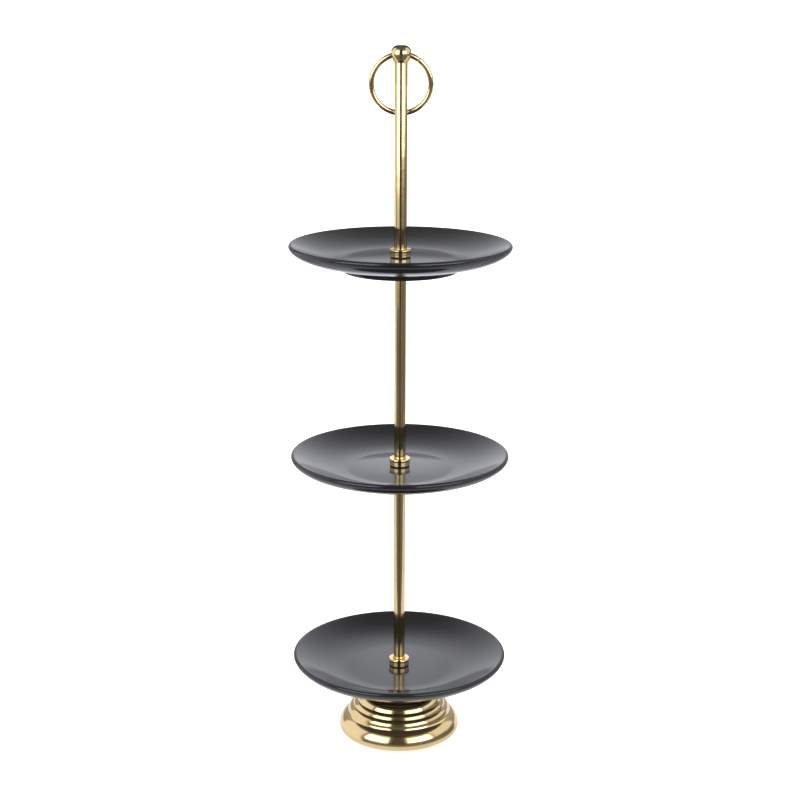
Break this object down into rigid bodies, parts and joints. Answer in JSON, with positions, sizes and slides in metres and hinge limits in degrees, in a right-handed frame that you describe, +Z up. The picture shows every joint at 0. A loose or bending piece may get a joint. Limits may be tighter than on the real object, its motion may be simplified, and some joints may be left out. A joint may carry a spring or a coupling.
{
  "type": "tiered cake stand",
  "caption": "Tiered cake stand: black glazed coupe plates clamped on a polished brass stem with a stepped round base, ball finial and swinging ring handle.",
  "frame": {"origin": "on the stem's axis, on the surface that the stand rests on", "axes": "+Z up along the stem, -Y towards the front, +X to the right seen from the front; the ring swings about an axis along X"},
  "size_m": [0.1578, 0.1578, 0.508],
  "materials": {
    "black_glaze": "high-gloss black glaze, mirror-smooth",
    "polished_brass": "polished pale gold brass plating",
    "gasket_rubber": "matte black rubber",
    "screw_steel": "zinc-plated steel",
    "pad_rubber": "fine-grained dark foam rubber"
  },
  "bodies": {
    "stand": {"ball_finial": "polished_brass", "base_lock_washer": "screw_steel", "base_pad": "pad_rubber", "base_pedestal": "polished_brass", "base_screw": "screw_steel", "base_washer": "screw_steel", "bottom_collar": "polished_brass", "bottom_lower_gasket": "gasket_rubber", "bottom_plate": "black_glaze", "bottom_upper_gasket": "gasket_rubber", "handle_stem": "polished_brass", "lower_stem": "polished_brass", "middle_collar": "polished_brass", "middle_lower_gasket": "gasket_rubber", "middle_plate": "black_glaze", "middle_stem": "polished_brass", "middle_stud": "screw_steel", "middle_support": "polished_brass", "middle_upper_gasket": "gasket_rubber", "top_collar": "polished_brass", "top_lower_gasket": "gasket_rubber", "top_plate": "black_glaze", "top_stud": "screw_steel", "top_support": "polished_brass", "top_upper_gasket": "gasket_rubber"},
    "ring": {"ring_handle": "polished_brass"}
  },
  "joints": [
    {"name": "ring_swing", "type": "hinge", "parent": "stand", "child": "ring", "pos_m": [0, 0, 0.5014], "axis": [1, 0, 0], "range_deg": [0, 341]}
  ]
}
